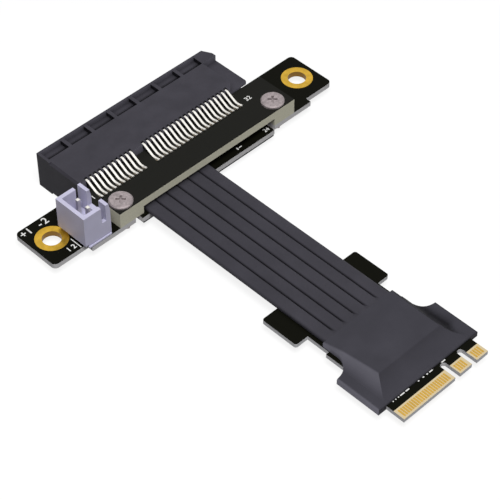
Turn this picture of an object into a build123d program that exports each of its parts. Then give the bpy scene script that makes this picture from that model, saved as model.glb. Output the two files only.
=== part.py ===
from build123d import *
import math
import os

# Flat ribbon extension from a 22 x 30 mm keyed edge card to a four-lane card slot.
# Millimetres. X runs along the slot, Y points out of the slot's mouth, Z is up.
# The origin lies midway between the two mounting holes, on the base board's underside.

# Board stack: a thin base board with a thick riser board on it
base_thick = 1.0
riser_thick = 3.2
stack_top = base_thick + riser_thick
slot_mid = stack_top / 2

# Base board outline
base_length = 66.6
base_width = 10.4
base_corner = 0.9
front_reach = 6.35
front_from = -25.9
front_to = 26.6
bay_clearance = 0.3

# Mounting holes and their plating
hole_spacing = 59.0
hole_dia = 3.4
plating_wall = 0.1
plating_land = 5.9
plating_raise = 0.06

# Solder tab in front of the riser, where the ribbon lands
tab_from = -15.3
tab_to = 16.5
tab_reach = 7.15
tab_gap = 0.85
tab_gap_depth = 2.2
film_thick = 0.3
film_inset = 0.2

# Riser board
riser_from = -19.6
riser_to = 22.3
shoulder_gap = 0.2
shoulder_reach = 2.6
pocket_from = -14.25
pocket_to = 17.35
pocket_height = 1.6
pocket_depth = 4.6
pocket_corner = 0.8
rear_clearance = 0.05

# Screws and nuts that clamp the riser
screw_xs = (-17.3, 19.1)
screw_y = -4.0
screw_dia = 1.6
screw_clearance = 0.2
head_dia = 4.3
head_height = 0.55
head_bevel = 0.22
recess_span = 1.8
recess_width = 0.42
recess_depth = 0.35
nut_flats = 3.2
nut_thick = 1.0
nut_fit = 0.04
thread_end = 0.2

# Slot housing
slot_length = 40.2
slot_height = 7.5
slot_depth = 11.17
slot_rear = 2.58
slot_left_margin = 1.94
contact_pitch = 1.0
contacts_before_key = 11
last_contact_margin = 4.9
key_gap = 3.0
row_mid = -2.41
mouth_width = 1.9
mouth_end_margin = 1.15
mouth_depth = 8.9
mouth_chamfer = 0.55
key_wall = 1.7
key_seat = 0.1
cell_pitch = 5.3
cell_rib = 0.7
cell_margin = 0.5
cell_length = 2.3
cell_lip = 0.45
cell_depth = 0.8
ledge_length = 3.25
ledge_drop = 1.2
ledge_corner = 1.15
lug_depth = 2.8
end_bevel = 0.42
end_bevel_length = 7.8
mouth_corner_across = 1.0
mouth_corner_along = 1.9
rear_corner = 0.7
relief_across = 1.7
relief_along = 1.9
relief_half_height = 2.2

# Slot contacts
contact_width = 0.42
contact_thick = 0.2
contact_clearance = 0.1
exit_below_top = 0.27
foot_heel = 0.55
foot_ball = 0.1
foot_toe = -0.5
foot_tip = -1.3
heel_rise = 0.13
toe_rise = 0.04
tip_rise = 0.24
lead_root = 0.35
lead_drop = 0.6
beam_height = 0.72
beam_tip_lift = 0.6
beam_reach = 7.9
tip_length = 1.5
comb_reach = 0.8
channel_roof = 0.35
channel_step = 2.2
beam_roof = 2.6

# Power header with two posts
header_x = -24.225
header_y = -2.485
header_width = 5.75
header_depth = 7.15
header_height = 7.0
header_wall = 0.75
header_floor = 2.2
header_relief = 0.65
header_relief_height = 0.65
header_foot = 0.25
header_foot_inset = 0.15
header_foot_height = 0.3
latch_wall = 0.95
latch_near = 1.8
latch_far = 2.35
latch_slot = 1.0
latch_slot_depth = 3.45
latch_gap_sill = 3.6
latch_taper = 0.3
latch_taper_height = 1.6
post_pitch = 2.5
post_width = 0.64
post_rise = 6.6
post_drop = 1.1
post_fit = 0.03
post_point = 0.16

# Ribbon: six flat strips side by side
strip_count = 6
strip_pitch = 2.55
ribbon_strip_width = 2.5
ribbon_thick = 1.0
ribbon_edge = 0.3
ribbon_x = -6.2
ribbon_start = -4.6
wires_per_strip = 4
wire_pitch = 0.55
wire_dia = 0.3
wire_sides = 8
wire_length = 1.6

# Edge card
card_thick = 0.8
card_tip = -67.85
card_length = 30.0
card_width = 22.0
card_body_length = 8.7
card_step_width = 17.9
card_step_length = 4.9
card_waist = 16.6
card_wing_length = 7.7
card_corner = 0.5
tongue_width = 19.85
tongue_length = 4.0
notch_width = 1.2
notch_depth = 3.5
notch_xs = (2.625, 6.625)
edge_pins = 75
pin_step = 0.25
keyed_pins = tuple(range(8, 16)) + tuple(range(24, 32))
pad_width = 0.35
pad_length = 1.55
pad_setback = 0.35
pad_raise = 0.04

# Boot moulded over the ribbon's end and round the card's edges
boot_length = 15.35
boot_front_to_tip = 3.7
flange_width = 23.4
flange_length = 8.95
flange_thick = 0.4
neck_width = 16.4
neck_length = 3.5
sweep_across = 1.26
sweep_along = 0.72
plateau_width = 14.2
plateau_height = 2.0
plateau_rise_length = 4.2
plateau_rise_height = 1.5
plateau_to_front = 4.3
crest_height = 2.4
side_run = 2.7
front_run = 3.6
boot_edge_round = 0.35

# How far a cutter passes the face that it opens
beyond = 1.0

# Counts that follow from the slot's length: contacts up to its last margin, pockets up to its ledge
contact_room = slot_length - slot_left_margin - last_contact_margin
contact_steps = math.floor((contact_room - key_gap) / contact_pitch)
contacts_after_key = contact_steps - (contacts_before_key - 1) + 1
cell_count = math.floor((slot_length - cell_margin - ledge_length + cell_rib) / cell_pitch)

# Places that follow from the sizes above
row_span = contact_pitch * contact_steps + key_gap
first_contact = row_mid - row_span / 2
slot_left = first_contact - slot_left_margin
slot_right = slot_left + slot_length
slot_front = slot_rear + slot_depth
slot_top = slot_mid + slot_height / 2
riser_rear = slot_rear - rear_clearance
pocket_top = base_thick + pocket_height
hole_x = hole_spacing / 2
screw_hole = screw_dia + screw_clearance
post_hole = post_width + 2 * post_fit
card_top = base_thick
card_bottom = card_top - card_thick
boot_front = card_tip + boot_front_to_tip
boot_rear = boot_front + boot_length
key_x = first_contact + contact_pitch * (contacts_before_key - 1) + key_gap / 2


def span_box(x0, x1, y0, y1, z0, z1):
    """A box between two opposite corners."""
    return Pos((x0 + x1) / 2, (y0 + y1) / 2, (z0 + z1) / 2) * Box(x1 - x0, y1 - y0, z1 - z0)


def plate(outline, z0, z1):
    """A flat sketch raised from z0 to z1."""
    return Pos(0, 0, z0) * extrude(outline, z1 - z0)


def span_rectangle(x0, x1, y0, y1):
    """A flat rectangle between two opposite corners."""
    return Pos((x0 + x1) / 2, (y0 + y1) / 2) * Rectangle(x1 - x0, y1 - y0)


def drill(x, y, dia, z0, z1):
    """A round cutter from z0 to z1."""
    return Pos(x, y, (z0 + z1) / 2) * Cylinder(dia / 2, z1 - z0)


def square_hole(x, y, width, z0, z1):
    """A square cutter from z0 to z1."""
    return span_box(x - width / 2, x + width / 2, y - width / 2, y + width / 2, z0, z1)


def contact_xs():
    """Every contact's place along the slot, with the key's gap between the two groups."""
    before = [first_contact + contact_pitch * i for i in range(contacts_before_key)]
    start = before[-1] + key_gap
    return before + [start + contact_pitch * i for i in range(contacts_after_key)]


def mirror_in_slot(shape):
    """The same shape on the slot's other face."""
    return mirror(shape, Plane.XY.offset(slot_mid))


def base_outline():
    """Base board from above: two eared ends, a wider middle, the solder tab and the bay for the slot."""
    half = base_width / 2
    ends = Rectangle(base_length, base_width)
    ends = fillet(ends.vertices(), base_corner)
    middle = span_rectangle(front_from, front_to, -front_reach, 0)
    tab = span_rectangle(tab_from, tab_to, -tab_reach, 0)
    board = ends + middle + tab
    bay_from, bay_to = slot_left - bay_clearance, slot_right + bay_clearance
    board -= span_rectangle(bay_from, bay_to, riser_rear, half + beyond)
    gap_rear = -front_reach + tab_gap_depth
    board -= span_rectangle(tab_from - tab_gap, tab_from, -front_reach - beyond, gap_rear)
    board -= span_rectangle(tab_to, tab_to + tab_gap, -front_reach - beyond, gap_rear)
    return board


def base_board():
    """Base board with its drilled holes."""
    board = plate(base_outline(), 0, base_thick)
    for side in (-1, 1):
        board -= drill(side * hole_x, 0, hole_dia + 2 * plating_wall, -beyond, base_thick + beyond)
    for x in screw_xs:
        board -= drill(x, screw_y, screw_hole, -beyond, base_thick + beyond)
    for y in post_ys():
        board -= square_hole(header_x, y, post_hole, -beyond, base_thick + beyond)
    return board


def hole_plating(side):
    """Copper barrel with a land on each face of the base board."""
    x = side * hole_x
    barrel = drill(x, 0, hole_dia + 2 * plating_wall, 0, base_thick)
    top_land = drill(x, 0, plating_land, base_thick, base_thick + plating_raise)
    bottom_land = drill(x, 0, plating_land, -plating_raise, 0)
    return barrel + top_land + bottom_land - drill(x, 0, hole_dia, -beyond, base_thick + beyond)


def riser_board():
    """Thick board with a shoulder beside the header and a routed pocket that lets the ribbon in."""
    block = span_box(riser_from, riser_to, -front_reach, riser_rear, base_thick, stack_top)
    shoulder_from = header_x + header_width / 2 + shoulder_gap
    block += span_box(shoulder_from, riser_from, -shoulder_reach, riser_rear, base_thick, stack_top)
    pocket = span_rectangle(pocket_from, pocket_to, -front_reach - pocket_corner, -front_reach + pocket_depth)
    pocket = fillet(pocket.vertices(), pocket_corner)
    block -= plate(pocket, base_thick - beyond, pocket_top)
    for x in screw_xs:
        block -= drill(x, screw_y, screw_hole, base_thick - beyond, stack_top + beyond)
    return block


def solder_film():
    """Thin insulating film under the solder tab."""
    return span_box(tab_from + film_inset, tab_to - film_inset, -tab_reach,
                    -front_reach + tab_gap_depth, -film_thick, 0)


def screw(x):
    """Low flat screw with a bevelled rim and a cross recess."""
    head = chamfer(Cylinder(head_dia / 2, 2 * head_height).edges().filter_by(GeomType.CIRCLE)
                   .sort_by(Axis.Z)[-1], head_bevel)
    head -= Pos(0, 0, -head_height) * Box(head_dia + beyond, head_dia + beyond, 2 * head_height)
    for turn in (45, 135):
        bar = Box(recess_span, recess_width, 2 * recess_depth)
        head -= Pos(0, 0, head_height) * Rot(0, 0, turn) * bar
    shank = drill(x, screw_y, screw_dia, -nut_thick - thread_end, stack_top)
    return Pos(x, screw_y, stack_top) * head + shank


def screw_nut(x):
    """Hexagon nut under the base board."""
    nut = extrude(RegularPolygon(nut_flats / 2, 6, major_radius=False, rotation=30), nut_thick)
    nut -= Cylinder((screw_dia + nut_fit) / 2, 3 * nut_thick)
    return Pos(x, screw_y, -nut_thick) * nut


def contact_line():
    """Middle line of an upper contact from its foot to its tip, as (y, z) points."""
    z_foot = stack_top + contact_thick / 2
    z_exit = slot_top - exit_below_top
    z_beam = slot_mid + beam_height + contact_thick / 2
    y_apex = slot_rear + beam_reach
    return [
        (foot_tip, z_foot + tip_rise), (foot_toe, z_foot + toe_rise), (foot_ball, z_foot),
        (foot_heel, z_foot + heel_rise), (slot_rear, z_exit), (slot_rear + lead_root, z_exit),
        (slot_rear + lead_root + lead_drop, z_exit - lead_drop),
        (y_apex, z_beam), (y_apex + tip_length, z_beam + beam_tip_lift),
    ]


def bent_strip(points, thickness):
    """Outline of a strip of even thickness along a bent line, mitred at its bends."""
    path = [Vector(*point) for point in points]
    ways = [(end - start).normalized() for start, end in zip(path, path[1:])]
    sides = [Vector(-way.Y, way.X) for way in ways]
    mitres = [(one + two) / (1 + one.dot(two)) for one, two in zip(sides, sides[1:])]
    offsets = [side * (thickness / 2) for side in [sides[0], *mitres, sides[-1]]]
    upper = [point + shift for point, shift in zip(path, offsets)]
    lower = [point - shift for point, shift in zip(path, offsets)]
    return make_face(Polyline(*upper, *reversed(lower), close=True))


def contact_solid():
    """One upper contact at x = 0: a bent strip of spring metal."""
    face = Plane.YZ * bent_strip(contact_line(), contact_thick)
    return extrude(face, contact_width / 2, both=True)


def contact_channels(x):
    """Space in the housing for one upper contact: a beam channel and an open comb slot at the rear."""
    half = contact_width / 2 + contact_clearance
    roof = slot_top - channel_roof
    beam_front = slot_rear + beam_reach + tip_length + 3 * contact_clearance
    step = slot_rear + channel_step
    beam = span_box(x - half, x + half, slot_rear + comb_reach, step, slot_mid, roof)
    beam += span_box(x - half, x + half, step, beam_front, slot_mid, slot_mid + beam_roof)
    comb_floor = slot_top - exit_below_top - contact_thick - lead_drop
    comb = span_box(x - half, x + half, slot_rear - beyond, slot_rear + comb_reach,
                    comb_floor, slot_top + beyond)
    return beam + comb


def housing_cells():
    """Shallow pockets in a row behind the mouth's upper edge."""
    cells = []
    for i in range(cell_count):
        x0 = slot_left + cell_margin + cell_pitch * i
        y1 = slot_front - cell_lip
        cells.append(span_box(x0, x0 + cell_pitch - cell_rib, y1 - cell_length, y1,
                              slot_top - cell_depth, slot_top + beyond))
    return cells


def housing_ledge():
    """Cut that lowers the right end of the upper face and leaves a lug at the mouth's corner."""
    x0, x1 = slot_right - ledge_length, slot_right + beyond
    y0, y1 = slot_rear - beyond, slot_front - lug_depth
    outline = make_face(Polyline((x0, y1), (x0, slot_rear + ledge_corner), (x0 - ledge_corner, slot_rear),
                                 (x0 - ledge_corner, y0), (x1, y0), (x1, y1), close=True))
    return plate(outline, slot_top - ledge_drop, slot_top + beyond)


def housing_end_bevel():
    """Bevel along the left end of the upper face."""
    low, high = slot_top - end_bevel, slot_top + beyond
    outer, inner = slot_left - beyond, slot_left + end_bevel
    corners = ((slot_left, low), (inner, slot_top), (inner, high), (outer, high), (outer, low))
    section = make_face(Polyline(*corners, close=True))
    return Pos(0, slot_rear + end_bevel_length, 0) * extrude(Plane.XZ * section, end_bevel_length + beyond)


def housing_outline():
    """Housing from above, with a cut corner at the mouth and a round one at the rear."""
    outline = make_face(Polyline(
        (slot_left, slot_rear), (slot_right, slot_rear), (slot_right, slot_front - mouth_corner_along),
        (slot_right - mouth_corner_across, slot_front), (slot_left, slot_front), close=True))
    return fillet(outline.vertices().sort_by(Axis.Y)[:2].sort_by(Axis.X)[-1], rear_corner)


def slot_housing():
    """Moulded slot body, open at its mouth, with a channel for each contact."""
    body = plate(housing_outline(), slot_mid - slot_height / 2, slot_top)
    mouth_from = first_contact - mouth_end_margin
    mouth_to = first_contact + row_span + mouth_end_margin
    body -= span_box(mouth_from, mouth_to, slot_front - mouth_depth, slot_front + beyond,
                     slot_mid - mouth_width / 2, slot_mid + mouth_width / 2)
    lip = body.faces().filter_by(Axis.Y).sort_by(Axis.Y)[-1].inner_wires()[0].edges()
    body = chamfer(lip, mouth_chamfer)
    upper = housing_ledge() + housing_end_bevel()
    for cut in housing_cells() + [contact_channels(x) for x in contact_xs()]:
        upper += cut
    body = body - upper - mirror_in_slot(upper)
    relief_rear = slot_rear + relief_along
    relief = make_face(Polyline((slot_right - relief_across, slot_rear), (slot_right, relief_rear),
                                (slot_right + beyond, relief_rear), (slot_right + beyond, slot_rear - beyond),
                                close=True))
    body -= plate(relief, slot_mid - relief_half_height, slot_mid + relief_half_height)
    key_half = mouth_width / 2 + key_seat
    key = span_box(key_x - key_wall / 2, key_x + key_wall / 2, slot_front - mouth_depth - key_seat,
                   slot_front - mouth_chamfer, slot_mid - key_half, slot_mid + key_half)
    return body + key


def post_ys():
    """Both header posts' places."""
    return (header_y - post_pitch / 2, header_y + post_pitch / 2)


def power_header():
    """Shrouded header: solid floor, full walls on three sides and two latch tabs on the fourth."""
    x0, x1 = header_x - header_width / 2, header_x + header_width / 2
    y0, y1 = header_y - header_depth / 2, header_y + header_depth / 2
    z0, z1 = base_thick, base_thick + header_height
    tab_x = x1 - latch_wall
    body = span_box(x0, x1, y0, y1, z0, z1)
    body -= span_box(x0 + header_wall, tab_x, y0 + header_wall, y1 - header_wall,
                     z0 + header_floor, z1 + beyond)
    body -= span_box(tab_x, x1 + beyond, y0 + latch_near, y1 - latch_far,
                     z0 + latch_gap_sill, z1 + beyond)
    for y in (y0, y1):
        body -= span_box(tab_x - latch_slot, tab_x, y - header_wall, y + header_wall,
                         z1 - latch_slot_depth, z1 + beyond)
    taper = make_face(Polyline((x1, z1 - latch_taper_height), (x1 - latch_taper, z1),
                               (x1 - latch_taper, z1 + beyond), (x1 + beyond, z1 + beyond),
                               (x1 + beyond, z1 - latch_taper_height), close=True))
    body -= Pos(0, y1 + beyond, 0) * extrude(Plane.XZ * taper, header_depth + 2 * beyond)
    body -= span_box(x0 - beyond, x0 + header_relief, y0 - beyond, y1 + beyond,
                     z0 - beyond, z0 + header_relief_height)
    body += span_box(x0 + header_relief, x1 - header_foot_inset, y0 - header_foot, y0,
                     z0, z0 + header_foot_height)
    for y in post_ys():
        body -= square_hole(header_x, y, post_hole, z0 - beyond, z0 + header_floor + beyond)
    return body


def header_post(y):
    """Square post with a pointed top."""
    post = square_hole(header_x, y, post_width, -post_drop, base_thick + post_rise)
    return chamfer(post.faces().sort_by(Axis.Z)[-1].edges(), post_point)


def strip_x(number):
    """Middle of a ribbon strip, numbered from 1 at the left."""
    return ribbon_x + strip_pitch * (number - (strip_count + 1) / 2)


def ribbon_strip(number):
    """One straight flat strip from the riser's pocket to the boot."""
    section = RectangleRounded(ribbon_strip_width, ribbon_thick, ribbon_edge)
    solid = extrude(Plane.XZ * section, ribbon_start - boot_rear)
    return Pos(strip_x(number), ribbon_start, base_thick + ribbon_thick / 2) * solid


def ribbon_wires():
    """Bare wire ends that run from each strip on to the base board's pads."""
    section = RegularPolygon(wire_dia / 2, wire_sides, major_radius=False, rotation=180 / wire_sides)
    wire = extrude(Plane.XZ * section, -wire_length)
    wires = []
    for number in range(1, strip_count + 1):
        for i in range(wires_per_strip):
            x = strip_x(number) + wire_pitch * (i - (wires_per_strip - 1) / 2)
            wires.append(Pos(x, ribbon_start, base_thick + wire_dia / 2) * wire)
    return wires


def card_outline():
    """Edge card from above: keyed tongue, wide body, stepped waist and two wings."""
    back = card_tip + card_length
    body_front = card_tip + tongue_length
    body_rear = body_front + card_body_length
    outline = span_rectangle(-tongue_width / 2, tongue_width / 2, card_tip, body_front + beyond)
    outline += span_rectangle(-card_width / 2, card_width / 2, body_front, body_rear)
    step_rear = body_rear + card_step_length
    outline += span_rectangle(-card_step_width / 2, card_step_width / 2, body_front, step_rear)
    outline += span_rectangle(-card_waist / 2, card_waist / 2, body_front, back)
    wings = span_rectangle(-card_width / 2, card_width / 2, back - card_wing_length, back)
    outline += fillet(wings.vertices(), card_corner)
    round_end = card_tip + notch_depth - notch_width / 2
    for x in notch_xs:
        outline -= span_rectangle(x - notch_width / 2, x + notch_width / 2, card_tip - beyond, round_end)
        outline -= Pos(x, round_end) * Circle(notch_width / 2)
    return Pos(ribbon_x, 0) * outline


def card_board():
    """Keyed edge card."""
    return plate(card_outline(), card_bottom, card_top)


def card_pads(first_pin, z0, z1):
    """Gold contact pads on one face, every second pin from first_pin."""
    pads = []
    for pin in range(first_pin, edge_pins + 1, 2):
        if pin in keyed_pins:
            continue
        x = ribbon_x + pin_step * ((edge_pins + 1) / 2 - pin)
        y0 = card_tip + pad_setback
        pads.append(span_box(x - pad_width / 2, x + pad_width / 2, y0, y0 + pad_length, z0, z1))
    return pads


def hollow_arc(low, high):
    """Hollow arc that leaves a flat face level at its low end and climbs to its high end."""
    run, rise = high[0] - low[0], high[1] - low[1]
    radius = (run ** 2 + rise ** 2) / (2 * rise)
    half_turn = math.asin(run / radius) / 2
    middle = (low[0] + radius * math.sin(half_turn), low[1] + radius * (1 - math.cos(half_turn)))
    return ThreePointArc(low, middle, high)


def mirrored_face(right_half):
    """A face from its right half, an open line that starts and ends on the middle."""
    start, end = right_half[0] @ 0, right_half[-1] @ 1
    half = make_face(Wire([*right_half, Line(end, start)]))
    return half + mirror(half, Plane.YZ)


def boot_outline():
    """Boot from above: a narrow neck that sweeps out to a wide flange."""
    neck, wide = neck_width / 2, flange_width / 2
    y_rear = boot_front + flange_length
    y_neck = boot_rear - neck_length
    sweep = ThreePointArc((wide, y_rear), (neck + sweep_across, y_rear + sweep_along), (neck, y_neck))
    corner = (wide, boot_front)
    return mirrored_face([Line((0, boot_front), corner), Line(corner, (wide, y_rear)), sweep,
                          Line((neck, y_neck), (neck, boot_rear)), Line((neck, boot_rear), (0, boot_rear))])


def boot_across():
    """Boot's section across the ribbon: a crest with hollow sides over a thin flange."""
    crest, wide, foot = plateau_width / 2, flange_width / 2, plateau_width / 2 + side_run
    low, high = (foot, flange_thick), (crest, crest_height)
    edge_low, edge_high = (wide, -card_thick), (wide, flange_thick)
    return mirrored_face([Line((0, -card_thick), edge_low), Line(edge_low, edge_high), Line(edge_high, low),
                          hollow_arc(low, high), Line(high, (0, crest_height))])


def boot_along():
    """Boot's section along the ribbon: level with the ribbon, a rise, a plateau and a hollow front slope."""
    plateau_end = boot_front + plateau_to_front
    low, high = (plateau_end - front_run, flange_thick), (plateau_end, plateau_height)
    top = Polyline((boot_rear, -card_thick), (boot_rear, ribbon_thick),
                   (boot_rear - plateau_rise_length, plateau_rise_height), high)
    bottom = Polyline(low, (boot_front, flange_thick), (boot_front, -card_thick), (boot_rear, -card_thick))
    return make_face(Wire([*top.edges(), hollow_arc(low, high), *bottom.edges()]))


def cable_boot():
    """Boot where its outline and its two sections meet, round the card."""
    length, height = boot_rear - boot_front, crest_height + card_thick
    across = Pos(0, boot_rear + beyond, 0) * extrude(Plane.XZ * boot_across(), length + 2 * beyond)
    along = extrude(Plane.YZ * boot_along(), flange_width, both=True)
    boot = plate(boot_outline(), -card_thick, height) & across & along
    crest = boot.faces().sort_by(Axis.Z)[-1].edges().sort_by(Axis.Y)[:-1]
    lengthwise = boot.edges().filter_by(Axis.Y).group_by(Axis.X)
    crosswise = boot.edges().filter_by(Axis.X).group_by(Axis.Y)
    rim = [group.sort_by(Axis.Z)[-1] for group in (lengthwise[0], lengthwise[-1], crosswise[0])]
    boot = fillet([*crest, *rim], boot_edge_round)
    return Pos(ribbon_x, 0, card_top) * boot - card_board()


def write(name, shape):
    """Write one node's STEP file; a list becomes a group of separate solids."""
    group = Compound(children=list(shape)) if isinstance(shape, list) else shape
    group.label = name
    export_step(group, os.path.join("parts", name + ".step"))
    solids = group.solids()
    print(name, len(solids), "solids", round(sum(s.volume for s in solids), 3), "mm3")


os.makedirs("parts", exist_ok=True)

upper_contact = contact_solid()
lower_contact = mirror_in_slot(upper_contact)

write("base_board", base_board())
write("left_hole_plating", hole_plating(-1))
write("right_hole_plating", hole_plating(1))
write("riser_board", riser_board())
write("solder_film", solder_film())
write("riser_screws", [screw(x) for x in screw_xs])
write("riser_nuts", [screw_nut(x) for x in screw_xs])
write("slot_housing", slot_housing())
write("upper_slot_contacts", [Pos(x, 0, 0) * upper_contact for x in contact_xs()])
write("lower_slot_contacts", [Pos(x, 0, 0) * lower_contact for x in contact_xs()])
write("power_header", power_header())
write("header_posts", [header_post(y) for y in post_ys()])
for number in range(1, strip_count + 1):
    write(f"ribbon_strip_{number}", ribbon_strip(number))
write("ribbon_wires", ribbon_wires())
write("card_board", card_board())
write("card_pads_top", card_pads(1, card_top, card_top + pad_raise))
write("card_pads_bottom", card_pads(2, card_bottom - pad_raise, card_bottom))
write("cable_boot", cable_boot())
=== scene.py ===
# %% [markdown]
# A flat ribbon extension runs from a small keyed edge card to a card slot on a riser board.
# The solids, their sizes and their places come ready made from the frame. This lesson dresses them:
# it sets up a camera, lays six ribbon strips, prints the white marks on the boards, adds solder,
# mixes a finish for each material, and lights a pale studio.
# %% Load the frame
import bpy
import math
from mathutils import Matrix, Vector


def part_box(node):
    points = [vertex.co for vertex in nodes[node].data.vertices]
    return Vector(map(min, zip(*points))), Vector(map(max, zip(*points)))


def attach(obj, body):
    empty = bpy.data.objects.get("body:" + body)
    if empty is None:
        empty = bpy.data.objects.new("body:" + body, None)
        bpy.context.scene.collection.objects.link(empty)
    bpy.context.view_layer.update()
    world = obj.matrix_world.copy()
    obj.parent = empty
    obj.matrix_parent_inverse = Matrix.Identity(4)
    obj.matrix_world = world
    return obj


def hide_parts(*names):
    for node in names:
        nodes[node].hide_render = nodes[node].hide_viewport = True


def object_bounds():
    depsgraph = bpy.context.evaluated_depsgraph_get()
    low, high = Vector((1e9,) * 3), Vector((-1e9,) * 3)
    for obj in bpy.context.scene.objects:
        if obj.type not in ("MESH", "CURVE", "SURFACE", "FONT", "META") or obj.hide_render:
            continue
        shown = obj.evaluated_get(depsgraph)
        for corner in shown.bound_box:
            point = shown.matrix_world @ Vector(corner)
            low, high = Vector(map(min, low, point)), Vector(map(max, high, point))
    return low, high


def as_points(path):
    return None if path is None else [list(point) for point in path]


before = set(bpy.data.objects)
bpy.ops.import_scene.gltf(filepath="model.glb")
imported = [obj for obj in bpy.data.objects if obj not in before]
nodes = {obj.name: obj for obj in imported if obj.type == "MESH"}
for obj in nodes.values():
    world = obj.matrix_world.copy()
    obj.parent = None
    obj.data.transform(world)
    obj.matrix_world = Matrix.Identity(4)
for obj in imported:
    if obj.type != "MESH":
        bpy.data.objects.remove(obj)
cad_box = [list(corner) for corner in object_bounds()]
mm = 0.001
print("nodes in the frame:", len(nodes))

# %% [markdown]
# What is added here has to sit on the solids exactly. Their heights could be typed, but they would be
# wrong as soon as a solid changed, so the surfaces and edges that carry the new pieces are read from
# the frame. Each box that it gives is a low corner and a high corner.
# %% Places read from the frame
base_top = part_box("base_board")[1][2]
riser_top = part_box("riser_board")[1][2]
card_low, card_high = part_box("card_board")
card_top = card_high[2]
contacts_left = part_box("upper_slot_contacts")[0][0]
header_low, header_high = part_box("power_header")
posts_low, posts_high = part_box("header_posts")
floor_height = cad_box[0][2]
print("riser top is", round(riser_top / mm, 2), "mm above the origin")

# %% [markdown]
# The camera stands where the photograph's stood: turned 45 degrees round the object, looking down
# at 46 degrees through a long lens, so that parallel edges stay nearly parallel. Its place was worked
# out from standard sizes that show in the picture, above all the row of leads, one millimetre apart.
# Aiming it by hand would be quicker, but three axes written as a matrix give exactly the direction
# that was worked out.
# %% Camera
camera_place = Vector((-158.4, -178.45, 223.0)) * mm
camera_turn = math.radians(-44.57)
camera_rise = math.radians(45.93)
focal_pixels = 1844.5
picture_pixels = 500
sensor_width = 36.0
nearest_seen = 0.01

backward = Vector((math.sin(camera_turn) * math.cos(camera_rise),
                   -math.cos(camera_turn) * math.cos(camera_rise),
                   math.sin(camera_rise)))
rightward = Vector((math.cos(camera_turn), math.sin(camera_turn), 0))
upward = backward.cross(rightward)
camera_axes = Matrix((rightward, upward, backward)).transposed().to_4x4()
camera_data = bpy.data.cameras.new("camera")
camera_data.sensor_width = sensor_width
camera_data.lens = focal_pixels / picture_pixels * sensor_width
camera_data.clip_start = nearest_seen
camera = bpy.data.objects.new("camera", camera_data)
bpy.context.collection.objects.link(camera)
camera.matrix_world = Matrix.Translation(camera_place) @ camera_axes
bpy.context.scene.camera = camera
print("lens is", round(camera_data.lens, 1), "mm")

# %% [markdown]
# New pieces start from a primitive and are shaped by operators. An operator acts on all that is
# selected, and loading the frame leaves its nodes selected, so each piece starts from an empty
# selection. With no mouse, corners, edges and faces are picked by a test of their place or direction.
# A finished piece keeps its place in its mesh, as the solids do, so that a pattern never slides on it.
# %% Starting, picking and finishing
def fresh_start():
    """Leaves edit mode and selects nothing."""
    if bpy.context.object and bpy.context.object.mode != "OBJECT":
        bpy.ops.object.mode_set(mode="OBJECT")
    bpy.ops.object.select_all(action="DESELECT")


def only(piece):
    """Selects one piece and makes it active."""
    fresh_start()
    piece.select_set(True)
    bpy.context.view_layer.objects.active = piece


def apply_place(piece):
    """Moves a piece's place, turn and size into its mesh."""
    only(piece)
    bpy.ops.object.transform_apply(location=True, rotation=True, scale=True)


def bar(middle, size):
    """A plain bar, given its middle and its three sizes."""
    fresh_start()
    bpy.ops.mesh.primitive_cube_add(size=1, location=middle, scale=size)
    piece = bpy.context.object
    apply_place(piece)
    return piece


def pick(piece, kind, test):
    """Selects the corners, edges or faces that pass a test, and enters edit mode."""
    only(piece)
    bpy.ops.object.mode_set(mode="EDIT")
    bpy.ops.mesh.select_mode(type=kind)
    bpy.ops.mesh.select_all(action="DESELECT")
    bpy.ops.object.mode_set(mode="OBJECT")
    mesh = piece.data
    parts = {"VERT": mesh.vertices, "EDGE": mesh.edges, "FACE": mesh.polygons}[kind]
    for part in parts:
        part.select = test(part)
    bpy.ops.object.mode_set(mode="EDIT")


def edge_ends(piece, edge):
    """The places of an edge's two ends."""
    return [piece.data.vertices[index].co for index in edge.vertices]


def settle(piece, name):
    """Finishes a piece: its place goes into its mesh, and it rides on the object."""
    apply_place(piece)
    piece.name = name
    piece.data.name = name
    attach(piece, "root")
    return piece


def joined(pieces, name):
    """Several pieces made into one finished piece."""
    only(pieces[0])
    for piece in pieces:
        piece.select_set(True)
    bpy.ops.object.join()
    return settle(bpy.context.object, name)


near = 0.01 * mm
print("places count as the same within", near / mm, "mm")

# %% [markdown]
# The ribbon is six flat strips, pulled straight between the two boards. A strip's route could be two
# points, but here it is read from a smooth spline, which would serve a bent one as well. The spline is
# only read here: the mesh comes in the next cell.
# %% Ribbon: sizes and route
strip_count = 6
strip_pitch = 2.55 * mm
strip_width = 2.5 * mm
strip_thick = 1.0 * mm
ribbon_middle = -6.2 * mm
strip_start = -4.6 * mm
strip_end = -48.8 * mm
strip_length = strip_start - strip_end
strip_height = base_top + strip_thick / 2
route_stops = (strip_start, -19.3 * mm, -34.1 * mm, strip_end)


def strip_route(x):
    """The line that one strip follows, as points read from a smooth spline."""
    curve = bpy.data.curves.new("strip_route", "CURVE")
    curve.dimensions = "3D"
    spline = curve.splines.new("NURBS")
    spline.points.add(len(route_stops) - 1)
    for point, y in zip(spline.points, route_stops):
        point.co = (x, y, strip_height, 1)
    spline.order_u = 3
    spline.use_endpoint_u = True
    spline.resolution_u = 12
    carrier = bpy.data.objects.new("strip_route", curve)
    bpy.context.collection.objects.link(carrier)
    line = bpy.data.meshes.new_from_object(carrier)
    points = [tuple(vertex.co) for vertex in line.vertices]
    bpy.data.objects.remove(carrier)
    bpy.data.curves.remove(curve)
    bpy.data.meshes.remove(line)
    return points


print("points on one route:", len(strip_route(ribbon_middle)))
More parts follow.
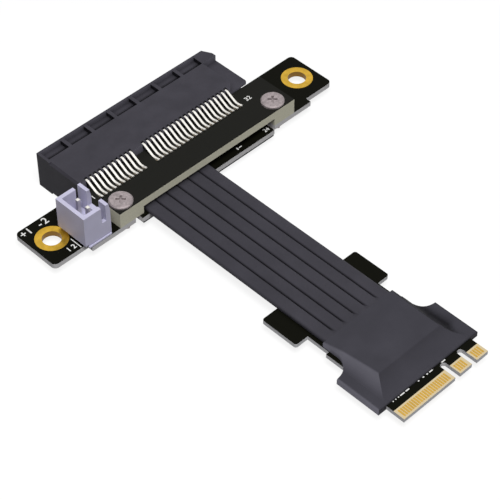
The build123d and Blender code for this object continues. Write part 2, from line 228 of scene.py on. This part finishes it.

# %% [markdown]
# Each strip has broad soft shoulders above and small rounds below, so that a dark groove shows between
# neighbours. A bar with its long edges bevelled gives both: the upper pair first, with many segments
# and a full profile, then the lower pair. A piece that stands for a solid hides the one it replaces.
# %% Ribbon: strips
shoulder_round = 0.72 * mm
shoulder_segments = 8
shoulder_fullness = 0.62
underside_round = 0.24 * mm
underside_segments = 4
smooth_up_to = math.radians(50)
almost_half = 0.49


def pick_long_edges(strip, x, height):
    """Picks a strip's two outer long edges at one height."""
    def test(edge):
        a, b = edge_ends(strip, edge)
        level = abs(a.z - height) < near and abs(b.z - height) < near
        return level and abs(a.y - b.y) > strip_length / 2 and abs(a.x - x) > almost_half * strip_width

    pick(strip, "EDGE", test)


def ribbon_strip(number):
    """One strip, counted from the left."""
    x = ribbon_middle + strip_pitch * (number - (strip_count + 1) / 2)
    strip = bar((x, (strip_start + strip_end) / 2, strip_height),
                (strip_width, strip_length, strip_thick))
    pick_long_edges(strip, x, strip_height + strip_thick / 2)
    bpy.ops.mesh.bevel(offset=shoulder_round, segments=shoulder_segments, profile=shoulder_fullness)
    pick_long_edges(strip, x, strip_height - strip_thick / 2)
    bpy.ops.mesh.bevel(offset=underside_round, segments=underside_segments)
    bpy.ops.object.mode_set(mode="OBJECT")
    bpy.ops.object.shade_smooth_by_angle(angle=smooth_up_to)
    settle(strip, f"ribbon_{number}")
    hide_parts(f"ribbon_strip_{number}")
    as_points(strip_route(x))
    return strip


strips = [ribbon_strip(number) for number in range(1, strip_count + 1)]
print("ribbon strips:", len(strips), "each", round(strip_length / mm, 1), "mm long")

# %% [markdown]
# Where the boot is moulded over the ribbon, plastic has run a little way into the grooves, so each
# groove grows shallow and fades out. The strips could be carved to show it, but a small wedge that
# fills each groove is simpler: a bar whose far upper edge is pushed down.
# %% Ribbon: ends of the grooves
fade_length = 1.9 * mm
fade_width = 1.46 * mm
fade_drop = 0.6 * mm
fade_push = 0.9 * fade_drop
fade_top = base_top + strip_thick - 0.015 * mm
fade_end = strip_end + fade_length


def groove_end(x):
    """A wedge that closes one groove at the boot."""
    wedge = bar((x, strip_end + fade_length / 2, fade_top - fade_drop / 2),
                (fade_width, fade_length, fade_drop))
    pick(wedge, "VERT", lambda corner: abs(corner.co.y - fade_end) < near
         and corner.co.z > fade_top - fade_drop / 2)
    bpy.ops.transform.translate(value=(0, 0, -fade_push))
    bpy.ops.object.mode_set(mode="OBJECT")
    return wedge


wedges = [groove_end(ribbon_middle + strip_pitch * (number - strip_count / 2))
          for number in range(1, strip_count)]
groove_ends = joined(wedges, "groove_ends")
print("groove ends:", len(wedges))

# %% [markdown]
# White ink is printed on the boards: numbers, and lines that show where parts go. It could be painted
# by a picture, but real print has crisp edges at any distance, so each mark is a very thin solid. A
# line is a bar with rounded ends, and a number is text turned into a mesh. All the ink on one board is
# one piece, sunk halfway into the board, so that no two faces lie in the same plane.
# %% Helpers for printed ink
ink_rise = 0.02 * mm
# Shares: the end's radius in a bar's width, a capital's height in the text's size, and the ink's
# spread in the height of a mark
end_round_share = 0.45
capital_share = 0.7
stroke_growth = 0.02


def ink_bar(x0, x1, y0, y1, surface):
    """A flat printed bar between two opposite corners, with rounded ends."""
    width, length = x1 - x0, y1 - y0
    line = bar(((x0 + x1) / 2, (y0 + y1) / 2, surface), (width, length, 2 * ink_rise))

    def upright(edge):
        a, b = edge_ends(line, edge)
        return abs(a.z - b.z) > ink_rise

    pick(line, "EDGE", upright)
    bpy.ops.mesh.bevel(offset=end_round_share * min(width, length), segments=3)
    bpy.ops.object.mode_set(mode="OBJECT")
    return line


def ink_text(text, x, y, height, surface):
    """A printed number or sign whose lower left corner is at x, y."""
    fresh_start()
    bpy.ops.object.text_add(location=(0, 0, 0))
    mark = bpy.context.object
    mark.data.body = text
    mark.data.size = height / capital_share
    mark.data.extrude = ink_rise
    mark.data.offset = stroke_growth * height
    bpy.ops.object.convert(target="MESH")
    mark = bpy.context.object
    mark.location = (x, y, surface)
    apply_place(mark)
    return mark


def printed(name, surface, texts=(), bars=()):
    """All the ink on one board, from tables in millimetres."""
    ink = [ink_text(text, x * mm, y * mm, height * mm, surface) for text, x, y, height in texts]
    ink += [ink_bar(x0 * mm, x1 * mm, y0 * mm, y1 * mm, surface) for x0, x1, y0, y1 in bars]
    return joined(ink, name)


print("ink is", ink_rise / mm, "mm high")

# %% [markdown]
# The base board has large polarity marks on its left ear, the numbers of the header's two posts beside
# the side line of the header's outline, and small marks on the solder tab. The line stops where the
# gold ring begins. A table keeps it short: text, left, foot and height, or a bar's left, right, near
# and far side.
# %% Ink on the base board
base_texts = [("+", -32.9, 3.4, 1.45), ("1", -31.6, 3.4, 1.45),
              ("-", -29.1, 3.4, 1.45), ("2", -28.1, 3.4, 1.45),
              ("1", -29.5, -4.45, 1.0), ("2", -28.4, -4.45, 1.0),
              ("24", 14.85, -6.45, 0.85)]
base_bars = [(-27.35, -27.19, -5.05, -2.3),
             (8.2, 8.45, -6.35, -5.72), (8.7, 9.4, -6.13, -5.93)]
board_ink = printed("base_board_ink", base_top, base_texts, base_bars)
print("base board ink has", len(board_ink.data.polygons), "faces")

# %% [markdown]
# The riser has the numbers of the first and the last lead, one at each end of their row. On the card a
# row of short marks shows between the boot and the gold pads, most of it under the boot's edge.
# %% Ink on the riser and on the card
riser_texts = [("1", -20.3, -0.45, 0.9), ("32", 15.85, -0.75, 0.95)]
dash_near, dash_far = -64.36, -64.1
dashes = [(-14.8, -14.6), (-14.2, -14.0), (-13.6, -13.35), (-13.1, -12.1), (-11.85, -11.0),
          (-8.95, -8.65), (-7.85, -7.5), (-6.95, -6.6), (-6.3, -5.5), (-3.4, -2.5)]
riser_ink = printed("riser_ink", riser_top, riser_texts)
card_ink = printed("card_ink", card_top, bars=[(x0, x1, dash_near, dash_far) for x0, x1 in dashes])
print("dashes on the card:", len(dashes))

# %% [markdown]
# Solder wets each lead's foot and forms a low mound round it. A sphere cut flat would need many faces
# for so small a thing, so a mound is a short cylinder whose top is inset and lifted twice. One is
# modelled and copied to every foot, each copy with its own mesh, and those below hang upside down.
# %% Solder at the leads
lead_pitch = 1.0 * mm
lead_half_width = 0.21 * mm
leads_before_key = 11
leads_after_key = 21
key_gap = 3.0 * mm
first_lead = contacts_left + lead_half_width
second_group = first_lead + lead_pitch * (leads_before_key - 1) + key_gap
lead_places = ([first_lead + lead_pitch * i for i in range(leads_before_key)]
               + [second_group + lead_pitch * i for i in range(leads_after_key)])
foot_middle = -0.5 * mm
stack_bottom = 0.0
mound_sides = 12
inset_share = 0.16
lift_shares = (0.6, 0.4)
looks_up = 0.9


def solder_mound(width, length, foot_height, peak):
    """A low oval mound at the origin."""
    fresh_start()
    bpy.ops.mesh.primitive_cylinder_add(vertices=mound_sides, radius=0.5, depth=1,
                                        location=(0, 0, foot_height / 2),
                                        scale=(width, length, foot_height))
    mound = bpy.context.object
    apply_place(mound)
    for share in lift_shares:
        pick(mound, "FACE", lambda face: face.normal.z > looks_up)
        bpy.ops.mesh.inset(thickness=inset_share * width)
        bpy.ops.transform.translate(value=(0, 0, (peak - foot_height) * share))
        bpy.ops.object.mode_set(mode="OBJECT")
    bpy.ops.object.shade_smooth()
    return mound


def copies(piece, places, flip=False):
    """Copies of one piece at several places, each with its own mesh; a flipped one hangs below."""
    made = []
    for place in places:
        copy = piece.copy()
        copy.data = piece.data.copy()
        bpy.context.collection.objects.link(copy)
        copy.location = place
        if flip:
            copy.rotation_euler = (math.pi, 0, 0)
        apply_place(copy)
        made.append(copy)
    return made


mound = solder_mound(width=0.52 * mm, length=1.3 * mm, foot_height=0.04 * mm, peak=0.12 * mm)
upper_mounds = copies(mound, [(x, foot_middle, riser_top) for x in lead_places])
lower_mounds = copies(mound, [(x, foot_middle, stack_bottom) for x in lead_places], flip=True)
bpy.data.objects.remove(mound)
upper_solder = joined(upper_mounds, "upper_lead_solder")
lower_solder = joined(lower_mounds, "lower_lead_solder")
print("solder mounds:", len(upper_mounds) + len(lower_mounds))

# %% [markdown]
# The header's posts pass through the base board and are soldered underneath, where each tail stands
# in a small cone. The same mound does for it, round and taller.
# %% Solder at the posts
post_x = (header_low[0] + header_high[0]) / 2
post_half_width = 0.32 * mm
post_ys = (posts_low[1] + post_half_width, posts_high[1] - post_half_width)
cone = solder_mound(width=1.5 * mm, length=1.5 * mm, foot_height=0.06 * mm, peak=0.42 * mm)
cones = copies(cone, [(post_x, y, stack_bottom) for y in post_ys], flip=True)
bpy.data.objects.remove(cone)
post_solder = joined(cones, "post_solder")
print("post cones:", len(cones))

# %% [markdown]
# Finishes come next, all made from nodes, as a picture would need unwrapped pieces. Small helpers keep
# the trees short: one adds a node with its settings, one links many sockets, and one starts a material
# with its shader. A number that is the same all over is set on the shader itself.
# %% Helpers for finishes
def add_node(tree, kind, inputs=None, **settings):
    """A new node with its settings and the values of its free inputs."""
    node = tree.nodes.new(kind)
    for key, value in settings.items():
        setattr(node, key, value)
    for key, value in (inputs or {}).items():
        node.inputs[key].default_value = value
    return node


def connect(tree, *joins):
    """Links sockets: each join is a node, its output, the next node and its input."""
    for source, output, target, entry in joins:
        tree.links.new(source.outputs[output], target.inputs[entry])


finish_names = []


def new_finish(name, roughness=0.5, metallic=0.0, specular=0.5):
    """A material with a shader; returns the material, its tree and the shader."""
    finish_names.append(name)
    material = bpy.data.materials.new(name)
    material.use_nodes = True
    tree = material.node_tree
    shader = tree.nodes["Principled BSDF"]
    shader.inputs["Roughness"].default_value = roughness
    shader.inputs["Metallic"].default_value = metallic
    shader.inputs["Specular IOR Level"].default_value = specular
    return material, tree, shader


def new_group(name, inputs, outputs):
    """A node group with named sockets; returns the tree and its two end nodes."""
    group = bpy.data.node_groups.new(name, "ShaderNodeTree")
    for label, kind, value in inputs:
        socket = group.interface.new_socket(name=label, in_out="INPUT", socket_type=kind)
        socket.default_value = value
    for label, kind in outputs:
        group.interface.new_socket(name=label, in_out="OUTPUT", socket_type=kind)
    return group, group.nodes.new("NodeGroupInput"), group.nodes.new("NodeGroupOutput")


def place_group(tree, group, **values):
    """The group as a node in a material, with its own values."""
    node = add_node(tree, "ShaderNodeGroup", node_tree=group)
    for key, value in values.items():
        node.inputs[key.replace("_", " ")].default_value = value
    return node


def in_millimetres(tree):
    """Object coordinates turned from metres into millimetres."""
    place = add_node(tree, "ShaderNodeTexCoord")
    scaled = add_node(tree, "ShaderNodeVectorMath", {"Scale": 1 / mm}, operation="SCALE")
    connect(tree, (place, "Object", scaled, 0))
    return scaled


def level_faces(tree, least):
    """A mask of one where the surface lies about level, and zero where it stands upright."""
    surface = add_node(tree, "ShaderNodeNewGeometry")
    split = add_node(tree, "ShaderNodeSeparateXYZ")
    lean = add_node(tree, "ShaderNodeMath", operation="ABSOLUTE")
    level = add_node(tree, "ShaderNodeMath", {1: least}, operation="GREATER_THAN")
    connect(tree, (surface, "Normal", split, 0), (split, "Z", lean, 0), (lean, 0, level, 0))
    return level


a_number, a_color, a_vector = "NodeSocketFloat", "NodeSocketColor", "NodeSocketVector"
print("socket kinds:", a_number, a_color, a_vector)

# %% [markdown]
# Moulded plastic and plated metal are never one flat colour. This could be painted, but noise read
# from object coordinates has no seam and fits any mesh. The group makes a colour a little darker and
# lighter in soft patches, gives a fine grain for the surface's relief, and lends its patches as a mask.
# %% Group: mottled colour and grain
mottle_group, mottle_in, mottle_out = new_group(
    "mottle",
    [("Color", a_color, (0.1, 0.1, 0.1, 1)), ("Amount", a_number, 0.15), ("Patch", a_number, 0.25),
     ("Grain", a_number, 8.0), ("Relief", a_number, 0.1)],
    [("Color", a_color), ("Normal", a_vector), ("Mask", a_number)])
place = in_millimetres(mottle_group)
patches = add_node(mottle_group, "ShaderNodeTexNoise", {"Detail": 4})
least = add_node(mottle_group, "ShaderNodeMath", {0: 1}, operation="SUBTRACT")
most = add_node(mottle_group, "ShaderNodeMath", {0: 1}, operation="ADD")
value = add_node(mottle_group, "ShaderNodeMapRange", {"From Min": 0.3, "From Max": 0.7})
toned = add_node(mottle_group, "ShaderNodeHueSaturation")
grain = add_node(mottle_group, "ShaderNodeTexNoise", {"Detail": 3})
relief = add_node(mottle_group, "ShaderNodeBump", {"Distance": 0.05 * mm})
connect(mottle_group,
        (place, 0, patches, "Vector"), (mottle_in, "Patch", patches, "Scale"),
        (place, 0, grain, "Vector"), (mottle_in, "Grain", grain, "Scale"),
        (mottle_in, "Amount", least, 1), (mottle_in, "Amount", most, 1),
        (least, 0, value, "To Min"), (most, 0, value, "To Max"), (patches, "Fac", value, "Value"),
        (value, "Result", toned, "Value"), (mottle_in, "Color", toned, "Color"),
        (mottle_in, "Relief", relief, "Strength"), (grain, "Fac", relief, "Height"),
        (toned, "Color", mottle_out, "Color"), (relief, "Normal", mottle_out, "Normal"),
        (patches, "Fac", mottle_out, "Mask"))
print("mottle group has", len(mottle_group.nodes), "nodes")

# %% [markdown]
# Edges of real parts are rounded and catch the light. Each edge could be bevelled, but
# the solids' meshes stay as they are. So this group compares the surface's own direction with a
# smoothed one, which differs only near an edge, and gives that as a mask. The plastics use it to
# paint a lighter highlight along their edges.
# %% Group: edge mask
edge_group, edge_in, edge_out = new_group(
    "edge_mask", [("Radius", a_number, 0.1 * mm), ("Gain", a_number, 4.0)], [("Mask", a_number)])
surface = add_node(edge_group, "ShaderNodeNewGeometry")
rounded = add_node(edge_group, "ShaderNodeBevel", samples=4)
likeness = add_node(edge_group, "ShaderNodeVectorMath", operation="DOT_PRODUCT")
difference = add_node(edge_group, "ShaderNodeMath", {0: 1}, operation="SUBTRACT")
gained = add_node(edge_group, "ShaderNodeMath", operation="MULTIPLY", use_clamp=True)
connect(edge_group,
        (edge_in, "Radius", rounded, "Radius"), (rounded, "Normal", likeness, 0),
        (surface, "Normal", likeness, 1), (likeness, "Value", difference, 1),
        (difference, 0, gained, 0), (edge_in, "Gain", gained, 1), (gained, 0, edge_out, "Mask"))
print("edge group has", len(edge_group.nodes), "nodes")

# %% [markdown]
# Corners, grooves and pockets see less light, which matt black hardly shows by itself. This group
# paints
# that shade into the colour: it gives a factor that falls from one towards its floor value where walls
# stand close round a spot, and a colour is scaled by it. It looks only as far as its reach, so open
# faces stay as bright.
# %% Group: shade in hollows
hollow_group, hollow_in, hollow_out = new_group(
    "hollow_shade",
    [("Reach", a_number, 1.5 * mm), ("Floor", a_number, 0.35)], [("Factor", a_number)])
openness = add_node(hollow_group, "ShaderNodeAmbientOcclusion", samples=12)
shade = add_node(hollow_group, "ShaderNodeMapRange", {"From Min": 0.35, "From Max": 0.95})
connect(hollow_group,
        (hollow_in, "Reach", openness, "Distance"), (openness, "AO", shade, "Value"),
        (hollow_in, "Floor", shade, "To Min"), (shade, "Result", hollow_out, "Factor"))
print("hollow group has", len(hollow_group.nodes), "nodes")

# %% [markdown]
# A circuit board is glass cloth and resin, pressed in layers, with a thin coat of black solder mask
# on its two faces only. The cut edges stay pale. Two materials on one board would need its faces
# sorted, so this group tells faces from edges by how far the surface leans from level, and draws the
# layers on the edges. The card's tongue has no mask round its pads, so the group also shows bare
# board beyond a line across the board.
# %% Group: board faces and cut edges
no_bare_board = -1000.0
board_group, board_in, board_out = new_group(
    "board_layers",
    [("Mask Color", a_color, (0.008, 0.008, 0.007, 1)),
     ("Edge Color", a_color, (0.33, 0.34, 0.28, 1)),
     ("Bare Color", a_color, (0.7, 0.58, 0.36, 1)), ("Bare Below Y", a_number, no_bare_board)],
    [("Color", a_color), ("Roughness", a_number), ("Normal", a_vector)])
level = level_faces(board_group, least=0.7)
place = in_millimetres(board_group)
layers = add_node(board_group, "ShaderNodeTexWave", {"Scale": 1.6, "Distortion": 1.5, "Detail": 2},
                  wave_type="BANDS", bands_direction="Z")
threads = add_node(board_group, "ShaderNodeTexNoise", {"Scale": 5})
layer_tint = add_node(board_group, "ShaderNodeMapRange", {"To Min": 0.88, "To Max": 1.08})
thread_tint = add_node(board_group, "ShaderNodeMapRange", {"To Min": 0.85, "To Max": 1.15})
tint = add_node(board_group, "ShaderNodeMath", operation="MULTIPLY")
edge_tone = add_node(board_group, "ShaderNodeHueSaturation")
spot = add_node(board_group, "ShaderNodeSeparateXYZ")
bare = add_node(board_group, "ShaderNodeMath", operation="LESS_THAN")
face_tone = add_node(board_group, "ShaderNodeMix", data_type="RGBA")
chosen = add_node(board_group, "ShaderNodeMix", data_type="RGBA")
gloss = add_node(board_group, "ShaderNodeMapRange", {"To Min": 0.75, "To Max": 0.36})
relief = add_node(board_group, "ShaderNodeBump", {"Strength": 0.12, "Distance": 0.03 * mm})
connect(board_group,
        (place, 0, layers, "Vector"), (layers, "Fac", layer_tint, "Value"),
        (place, 0, threads, "Vector"), (threads, "Fac", thread_tint, "Value"),
        (layer_tint, "Result", tint, 0), (thread_tint, "Result", tint, 1),
        (tint, 0, edge_tone, "Value"), (board_in, "Edge Color", edge_tone, "Color"),
        (place, 0, spot, 0), (spot, "Y", bare, 0), (board_in, "Bare Below Y", bare, 1),
        (bare, 0, face_tone, "Factor"), (board_in, "Mask Color", face_tone, "A"),
        (board_in, "Bare Color", face_tone, "B"),
        (level, 0, chosen, "Factor"), (edge_tone, "Color", chosen, "A"),
        (face_tone, "Result", chosen, "B"), (level, 0, gloss, "Value"),
        (threads, "Fac", relief, "Height"),
        (chosen, "Result", board_out, "Color"), (gloss, "Result", board_out, "Roughness"),
        (relief, "Normal", board_out, "Normal"))
print("board group has", len(board_group.nodes), "nodes")

# %% [markdown]
# The slot, the boot and the ribbon are matt black plastic with a hint of violet, and the header is pale
# and smooth. Each of these finishes now takes a few lines: a colour, how rough it is, and the groups
# placed with its own values. The film and the ink are plain coats made in the same way.
# %% Finishes for plastic and ink
def plastic(name, tone, edge_tone, roughness, specular, amount=0.12, patch=0.3,
            reach=1.5 * mm, hollow_floor=1.0):
    """Moulded plastic with mottled colour, fine grain, a painted highlight on its edges and painted
    shade in its hollows.
    """
    material, tree, shader = new_finish(name, roughness, specular=specular)
    mottle = place_group(tree, mottle_group, Color=(*tone, 1), Amount=amount, Patch=patch,
                         Grain=6.0, Relief=0.15)
    edges = place_group(tree, edge_group, Radius=0.12 * mm, Gain=2.0)
    # The edge tone is a lighter colour painted along the edges: a painted highlight.
    mixed = add_node(tree, "ShaderNodeMix", data_type="RGBA")
    mixed.inputs["B"].default_value = (*edge_tone, 1)
    # The colour is scaled down where walls stand close: painted shade in hollows.
    hollows = place_group(tree, hollow_group, Reach=reach, Floor=hollow_floor)
    shaded = add_node(tree, "ShaderNodeVectorMath", operation="SCALE")
    connect(tree,
            (mottle, "Color", mixed, "A"), (edges, "Mask", mixed, "Factor"),
            (mixed, "Result", shaded, 0), (hollows, "Factor", shaded, "Scale"),
            (shaded, 0, shader, "Base Color"), (mottle, "Normal", shader, "Normal"))
    return material


# In each call the second colour is the painted highlight on edges, and hollow_floor sets how dark the
# painted shade in hollows gets.
housing_finish = plastic("housing_plastic", (0.0505, 0.0482, 0.0595), (0.07, 0.067, 0.084),
                         roughness=0.55, specular=0.08, hollow_floor=0.45)
boot_finish = plastic("boot_plastic", (0.051, 0.0495, 0.061), (0.052, 0.0505, 0.062),
                      roughness=0.6, specular=0.08, patch=0.15, reach=2.5 * mm, hollow_floor=0.2)
ribbon_finish = plastic("ribbon_sheath", (0.05, 0.048, 0.059), (0.051, 0.049, 0.06),
                        roughness=0.55, specular=0.08, patch=0.15, reach=1.2 * mm, hollow_floor=0.3)
header_finish = plastic("header_plastic", (0.6, 0.585, 0.76), (0.7, 0.69, 0.86),
                        roughness=0.45, specular=0.2, amount=0.04, hollow_floor=0.7)
film_finish = plastic("insulating_film", (0.004, 0.004, 0.004), (0.008, 0.008, 0.008),
                      roughness=0.5, specular=0.05)
ink_finish = plastic("printed_ink", (0.82, 0.82, 0.8), (0.85, 0.85, 0.83),
                     roughness=0.6, specular=0.1, amount=0.05)
print("finishes so far:", ", ".join(finish_names))

# %% [markdown]
# The boards share one recipe and differ in tone: the thick riser's mask is greyer than the thin
# boards', and its edge is more yellow. A function makes all three, as three separate trees would have
# to be mended three times. Only the card has a line where its mask ends.
# %% Finishes for boards
def board_finish(name, mask_tone, edge_tone, bare_below=no_bare_board):
    """Solder-masked board with pale cut edges, and bare board below a line across it."""
    material, tree, shader = new_finish(name, specular=0.02)
    board = place_group(tree, board_group, Mask_Color=(*mask_tone, 1), Edge_Color=(*edge_tone, 1),
                        Bare_Below_Y=bare_below)
    connect(tree, (board, "Color", shader, "Base Color"), (board, "Roughness", shader, "Roughness"),
            (board, "Normal", shader, "Normal"))
    return material


tongue_without_mask = 2.25
mask_line = card_low[1] / mm + tongue_without_mask
thin_board_finish = board_finish("thin_board", (0.0055, 0.0055, 0.0035), (0.7, 0.69, 0.7))
card_finish = board_finish("card_board", (0.0055, 0.0055, 0.0035), (0.72, 0.72, 0.74), mask_line)
riser_finish = board_finish("thick_board", (0.016, 0.016, 0.014), (0.72, 0.7, 0.56))
print("the card's mask ends at", round(mask_line, 2), "mm")

# %% [markdown]
# Metals show their surroundings. Their colour changes little, and what changes most is how sharp the
# reflection is, so the mottle's mask drives the roughness. Inside a plated hole the walls look dark and
# brown in shade, so a metal may have a darker tone painted on its upright walls as painted shade.
# %% Finishes for metal
def metal(name, tone, sharpest, dullest, amount=0.06, patch=0.8, wall_shade_tone=None):
    """Bare or plated metal with uneven sharpness, and painted shade on its upright walls when a wall
    tone is given.
    """
    material, tree, shader = new_finish(name, metallic=1.0)
    mottle = place_group(tree, mottle_group, Color=(*tone, 1), Amount=amount, Patch=patch,
                         Grain=10.0, Relief=0.05)
    rough = add_node(tree, "ShaderNodeMapRange", {"To Min": sharpest, "To Max": dullest})
    connect(tree, (mottle, "Mask", rough, "Value"), (rough, "Result", shader, "Roughness"),
            (mottle, "Normal", shader, "Normal"), (mottle, "Color", shader, "Base Color"))
    # A darker tone on upright walls, such as inside a plated hole: painted shade.
    if wall_shade_tone:
        level = level_faces(tree, least=0.5)
        toned = add_node(tree, "ShaderNodeMix", data_type="RGBA")
        toned.inputs["A"].default_value = (*wall_shade_tone, 1)
        connect(tree, (level, 0, toned, "Factor"), (mottle, "Color", toned, "B"),
                (toned, "Result", shader, "Base Color"))
    return material


gold_finish = metal("gold_plate", (0.6, 0.37, 0.045), sharpest=0.3, dullest=0.5,
                    amount=0.14, patch=0.9, wall_shade_tone=(0.22, 0.12, 0.03))
pad_finish = metal("gold_pads", (0.56, 0.35, 0.07), sharpest=0.35, dullest=0.5)
lead_finish = metal("tinned_leads", (0.84, 0.82, 0.77), sharpest=0.25, dullest=0.42)
screw_finish = metal("screw_nickel", (0.325, 0.285, 0.29), sharpest=0.62, dullest=0.78,
                     amount=0.22, patch=2.4)
wire_finish = metal("tinned_wire", (0.75, 0.72, 0.68), sharpest=0.3, dullest=0.5)
solder_finish = metal("solder", (0.5, 0.43, 0.32), sharpest=0.35, dullest=0.55,
                      amount=0.12, patch=2.0)
print("finishes in all:", len(finish_names))

# %% [markdown]
# The solids keep their meshes and their material slots, and each slot gets its finish. A table tells
# at a glance which solid is made of what. A new piece has one finish all over.
# %% Dress the solids and the new pieces
finish_of = {
    "base_board": thin_board_finish, "card_board": card_finish, "riser_board": riser_finish,
    "left_hole_plating": gold_finish, "right_hole_plating": gold_finish,
    "card_pads_top": pad_finish, "card_pads_bottom": pad_finish,
    "upper_slot_contacts": lead_finish, "lower_slot_contacts": lead_finish,
    "header_posts": lead_finish, "riser_screws": screw_finish, "riser_nuts": screw_finish,
    "ribbon_wires": wire_finish, "slot_housing": housing_finish, "power_header": header_finish,
    "solder_film": film_finish, "cable_boot": boot_finish,
}
for name, finish in finish_of.items():
    slots = nodes[name].data.materials
    for index in range(len(slots)):
        slots[index] = finish


def coat(finish, *pieces):
    """Gives new pieces their only finish."""
    for piece in pieces:
        piece.data.materials.clear()
        piece.data.materials.append(finish)


coat(ribbon_finish, groove_ends, *strips)
coat(ink_finish, board_ink, riser_ink, card_ink)
coat(solder_finish, upper_solder, lower_solder, post_solder)
print("solids dressed:", len(finish_of))

# %% [markdown]
# The studio is a pale floor under a dim even sky. A floor that is truly white would throw too much
# light up at the object, so it is grey, and it looks white only to the camera, in reflections and
# through glass. The light path tells those rays apart, and the floor still takes the object's shadow.
# %% Floor
def seen_directly(tree):
    """One for rays from the camera, a mirror or glass, and zero for light that falls on things."""
    rays = add_node(tree, "ShaderNodeLightPath")
    first = add_node(tree, "ShaderNodeMath", operation="MAXIMUM")
    second = add_node(tree, "ShaderNodeMath", operation="MAXIMUM")
    connect(tree, (rays, "Is Camera Ray", first, 0), (rays, "Is Glossy Ray", first, 1),
            (first, 0, second, 0), (rays, "Is Transmission Ray", second, 1))
    return second


white = (1, 1, 1, 1)
floor_size = 3.0
floor_y = -0.03
floor_gap = 0.02 * mm
floor_glow = 0.85
fresh_start()
bpy.ops.mesh.primitive_plane_add(size=floor_size, location=(0, floor_y, floor_height - floor_gap))
floor = bpy.context.object
floor.name = "studio_floor"
floor_finish, tree, shader = new_finish("floor_finish", roughness=0.9, specular=0.0)
shader.inputs["Base Color"].default_value = (0.18, 0.18, 0.18, 1)
shader.inputs["Emission Color"].default_value = white
glow = add_node(tree, "ShaderNodeMath", {1: floor_glow}, operation="MULTIPLY")
connect(tree, (seen_directly(tree), 0, glow, 0), (glow, 0, shader, "Emission Strength"))
floor.data.materials.append(floor_finish)
print("floor at", round(floor_height / mm, 2), "mm")

# %% [markdown]
# A picture of a room would give livelier reflections, but an even sky suits a plain studio. It is
# white where it is seen, and gives the object only a little light from all round, so that the shadows
# are soft and never quite black.
# %% Sky
sky_light = 0.12
world = bpy.data.worlds.new("studio")
bpy.context.scene.world = world
world.use_nodes = True
sky_tree = world.node_tree
sky = sky_tree.nodes["Background"]
sky.inputs["Color"].default_value = white
strength = add_node(sky_tree, "ShaderNodeMapRange", {"To Min": sky_light, "To Max": 1.0})
connect(sky_tree, (seen_directly(sky_tree), 0, strength, "Value"),
        (strength, "Result", sky, "Strength"))
print("sky strength for the object:", sky_light)

# %% [markdown]
# A broad overhead lamp lights the boards, the header and the ribbon. Matt black shows its form only by
# shade, and under one lamp the sloped faces of the two black mouldings all look alike. So the boot has
# its own lamp, low at the left, and the slot has one low in front. Light linking keeps each of these
# off everything else, and keeps the overhead lamp off the two mouldings.
# %% Lamps
def soft_lamp(name, place, aim, size, power):
    """A square area lamp that looks at a point."""
    data = bpy.data.lights.new(name, "AREA")
    data.shape = "SQUARE"
    data.size = size
    data.energy = power
    lamp = bpy.data.objects.new(name, data)
    bpy.context.collection.objects.link(lamp)
    lamp.location = place
    lamp.rotation_euler = (Vector(aim) - Vector(place)).to_track_quat("-Z", "Y").to_euler()
    return lamp


def limit_lamp(lamp, list_name, pieces, state):
    """Makes a lamp light only these pieces (INCLUDE), or all but these (EXCLUDE)."""
    listed = bpy.data.collections.new(list_name)
    for piece in pieces:
        listed.objects.link(piece)
    for entry in listed.collection_objects:
        entry.light_linking.link_state = state
    lamp.light_linking.receiver_collection = listed


boot, housing = nodes["cable_boot"], nodes["slot_housing"]
overhead_lamp = soft_lamp("overhead_lamp", (-0.17, -0.26, 0.74), (0, -0.03, 0), size=0.4, power=6.0)
boot_lamp = soft_lamp("boot_lamp", (-0.6, -0.1, 0.32), (0, -0.06, 0), size=0.2, power=8.7)
housing_lamp = soft_lamp("housing_lamp", (0.02, -0.62, 0.48), (0, 0, 0), size=0.2, power=9.1)
limit_lamp(overhead_lamp, "not_overhead", [boot, housing], "EXCLUDE")
limit_lamp(boot_lamp, "boot_only", [boot], "INCLUDE")
limit_lamp(housing_lamp, "housing_only", [housing], "INCLUDE")
bpy.context.scene.view_settings.view_transform = "Standard"
print("lamps:", len(bpy.data.lights))
